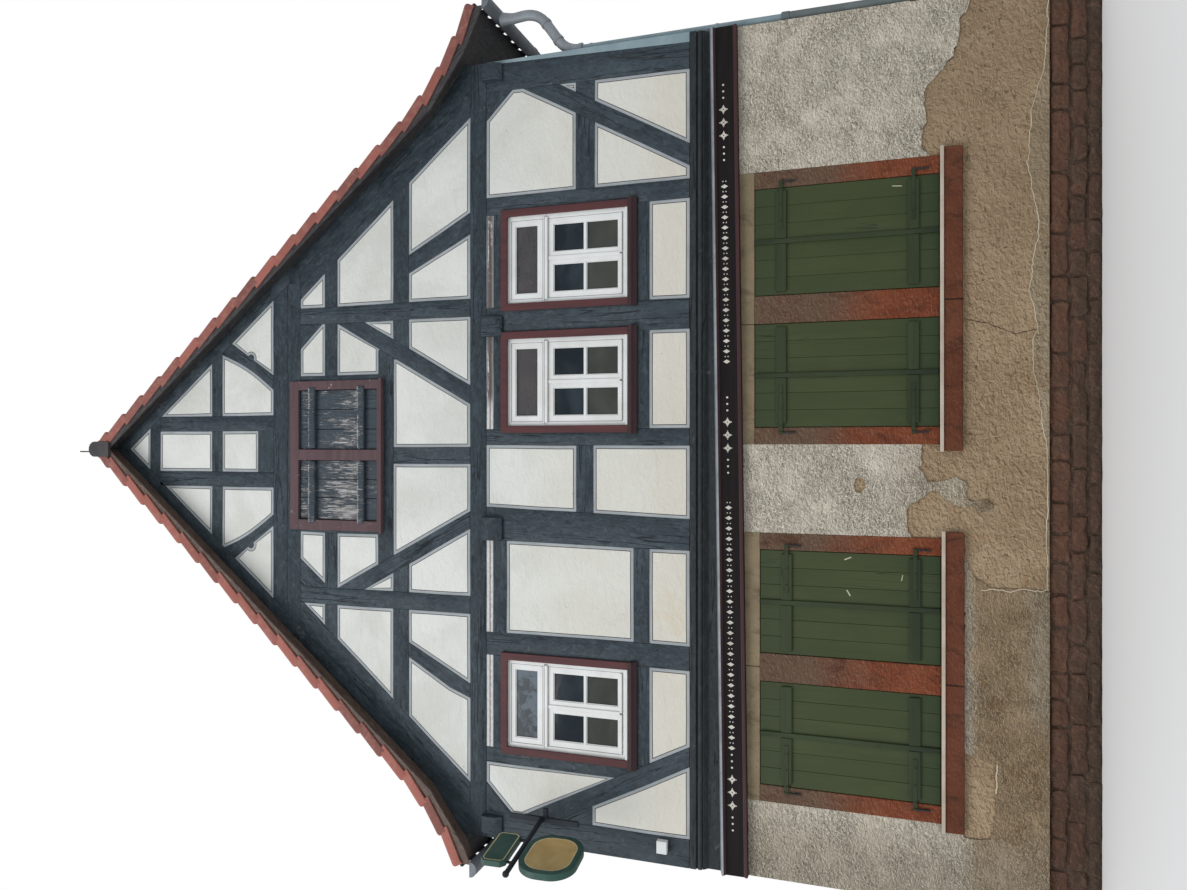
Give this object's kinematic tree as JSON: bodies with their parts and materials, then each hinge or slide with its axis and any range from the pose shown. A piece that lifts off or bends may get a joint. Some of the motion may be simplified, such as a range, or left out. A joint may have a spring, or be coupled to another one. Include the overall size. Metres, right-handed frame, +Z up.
{
  "type": "half timbered house",
  "caption": "Half timbered town house, gable to the street: dark oak frame with curved braces, white panels, clay tiled roof with flared eaves, plastered ground storey with green shutters.",
  "frame": {"origin": "on the ground under the middle of the plan, at the underside of the plinth", "axes": "+Z up, the street gable faces -Y, +X is to the right seen from the street"},
  "size_m": [9.117, 10.8462, 11.1386],
  "materials": {
    "plinth_stone": "sandstone blocks, weathered",
    "floor_stone": "rough slab",
    "smooth_plaster": "smooth lime plaster, bare",
    "rough_plaster": "roughcast coat, speckled",
    "pale_stone": "pale sandstone, worn",
    "red_stone": "red sandstone, worn",
    "sill_stone": "red sandstone, flaked",
    "trim_paint": "pale paint, weathered",
    "shutter_paint": "moss green paint, matte",
    "shutter_iron": "moss green paint over iron",
    "dark_iron": "blackened, matte",
    "white_paint": "white gloss paint",
    "window_glass": "clear pane",
    "floor_wood": "bare planks",
    "dark_timber": "hewn oak, grey black stain",
    "fascia_paint": "near black paint, worn",
    "zinc_sheet": "dull zinc",
    "white_plaster": "limewash on plaster",
    "oxide_paint": "oxide red paint, worn",
    "hatch_paint": "blue green paint, peeling",
    "roof_tile": "fired clay, weathered",
    "rafter_wood": "sawn spruce",
    "verge_wood": "bare boards, weathered",
    "cap_metal": "dark sheet, matte",
    "pipe_paint": "pale blue grey paint",
    "sign_paint": "dark green paint",
    "white_plastic": "white case"
  },
  "bodies": {
    "root": {"plinth": "plinth_stone", "ground_floor": "floor_stone", "ground_wall_front": "smooth_plaster", "ground_wall_left": "rough_plaster", "ground_wall_right": "rough_plaster", "ground_wall_rear": "rough_plaster", "front_plaster_coat": "rough_plaster", "stone_lintels": "pale_stone", "stone_jambs": "red_stone", "stone_sills": "sill_stone", "sill_drip_strips": "trim_paint", "shutter_leaves": "shutter_paint", "shutter_battens": "shutter_paint", "strap_hinges": "shutter_iron", "hinge_pins": "dark_iron", "window_frames": "white_paint", "window_sashes": "white_paint", "window_glass": "window_glass", "entrance_door": "shutter_paint", "upper_floor": "floor_wood", "front_sill_beam": "dark_timber", "fascia_board": "fascia_paint", "fascia_flashing": "zinc_sheet", "gable_posts": "dark_timber", "gable_rails": "dark_timber", "gable_braces": "dark_timber", "gable_beams": "dark_timber", "gable_panels": "white_plaster", "beam_ends": "dark_timber", "window_architraves": "oxide_paint", "window_sills": "oxide_paint", "gable_rafters": "dark_timber", "hatch_frame": "oxide_paint", "hatch_leaves": "hatch_paint", "side_frames": "dark_timber", "side_panels": "white_plaster", "attic_floor": "floor_wood", "roof_left": "roof_tile", "roof_right": "roof_tile", "rafters": "rafter_wood", "verge_boards": "verge_wood", "ridge_tiles": "roof_tile", "ridge_end_cap": "cap_metal", "gutters": "zinc_sheet", "rain_pipe": "pipe_paint", "corner_board": "pipe_paint", "sign_bracket": "dark_iron", "sign_boards": "sign_paint", "junction_box": "white_plastic"}
  },
  "joints": []
}
